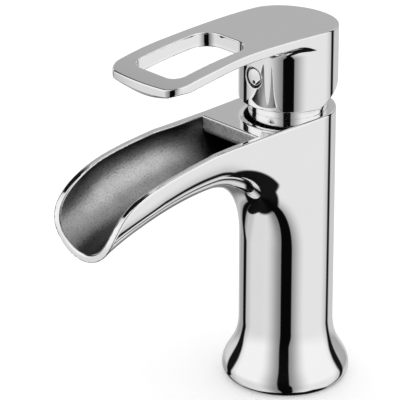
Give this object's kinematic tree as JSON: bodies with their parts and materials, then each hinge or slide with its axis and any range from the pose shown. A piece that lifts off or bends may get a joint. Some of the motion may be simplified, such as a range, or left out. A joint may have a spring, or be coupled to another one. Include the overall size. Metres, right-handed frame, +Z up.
{
  "type": "basin mixer tap",
  "caption": "Single-lever basin mixer tap: round cast column with a flared foot, an open trough spout and a flat lever with a finger loop.",
  "frame": {"origin": "centre of the foot on the deck, at the mouth of the fixing stud's hole on the column axis", "axes": "+Z up along the column, -Y along the spout towards the user, +X to the user's right"},
  "size_m": [0.0606, 0.1593, 0.1804],
  "materials": {
    "body_chrome": "polished plated brass, rough-cast inside the trough",
    "lever_chrome": "polished plated brass",
    "trim_chrome": "polished plate",
    "plug_chrome": "polished plate",
    "mark_plastic": "dark gloss",
    "nut_brass": "turned",
    "screw_steel": "bright",
    "spindle_steel": "bright",
    "seal_rubber": "black, smooth",
    "cartridge_plastic": "moulded",
    "guide_plastic": "moulded",
    "carrier_plastic": "moulded",
    "glide_plastic": "smooth",
    "limit_plastic": "moulded",
    "disc_ceramic": "lapped ceramic"
  },
  "bodies": {
    "root": {"body": "body_chrome", "base_seal": "seal_rubber", "trim_ring": "trim_chrome", "trim_ring_seal": "seal_rubber", "cartridge_nut": "nut_brass", "cartridge_housing": "cartridge_plastic", "housing_seal": "seal_rubber", "cartridge_base": "cartridge_plastic", "inlet_seals": "seal_rubber", "disc_seals": "seal_rubber", "fixed_disc": "disc_ceramic", "hot_limit_ring": "limit_plastic"},
    "turret": {"spindle_guide": "guide_plastic", "guide_seal": "seal_rubber", "spindle_pin": "screw_steel", "glide_ring": "glide_plastic"},
    "handle": {"lever": "lever_chrome", "grub_screw": "screw_steel", "indicator_plug": "plug_chrome", "hot_cold_mark": "mark_plastic", "spindle": "spindle_steel"},
    "disc_stack": {"disc_carrier": "carrier_plastic", "moving_disc": "disc_ceramic"}
  },
  "joints": [
    {"name": "lever_turn", "type": "hinge", "parent": "root", "child": "turret", "pos_m": [0, 0, 0.143], "axis": [0, 0, 1], "range_deg": [-45, 45]},
    {"name": "lever_lift", "type": "hinge", "parent": "turret", "child": "handle", "pos_m": [0, 0, 0.143], "axis": [-1, 0, 0], "range_deg": [0, 25]},
    {"name": "disc_slide", "type": "slide", "parent": "turret", "child": "disc_stack", "axis": [0, -1, 0], "range_m": [0, 0.00292]}
  ],
  "couplings": [
    {"joint": "disc_slide", "follows": "lever_lift", "m_per_rad": 0.006683}
  ]
}
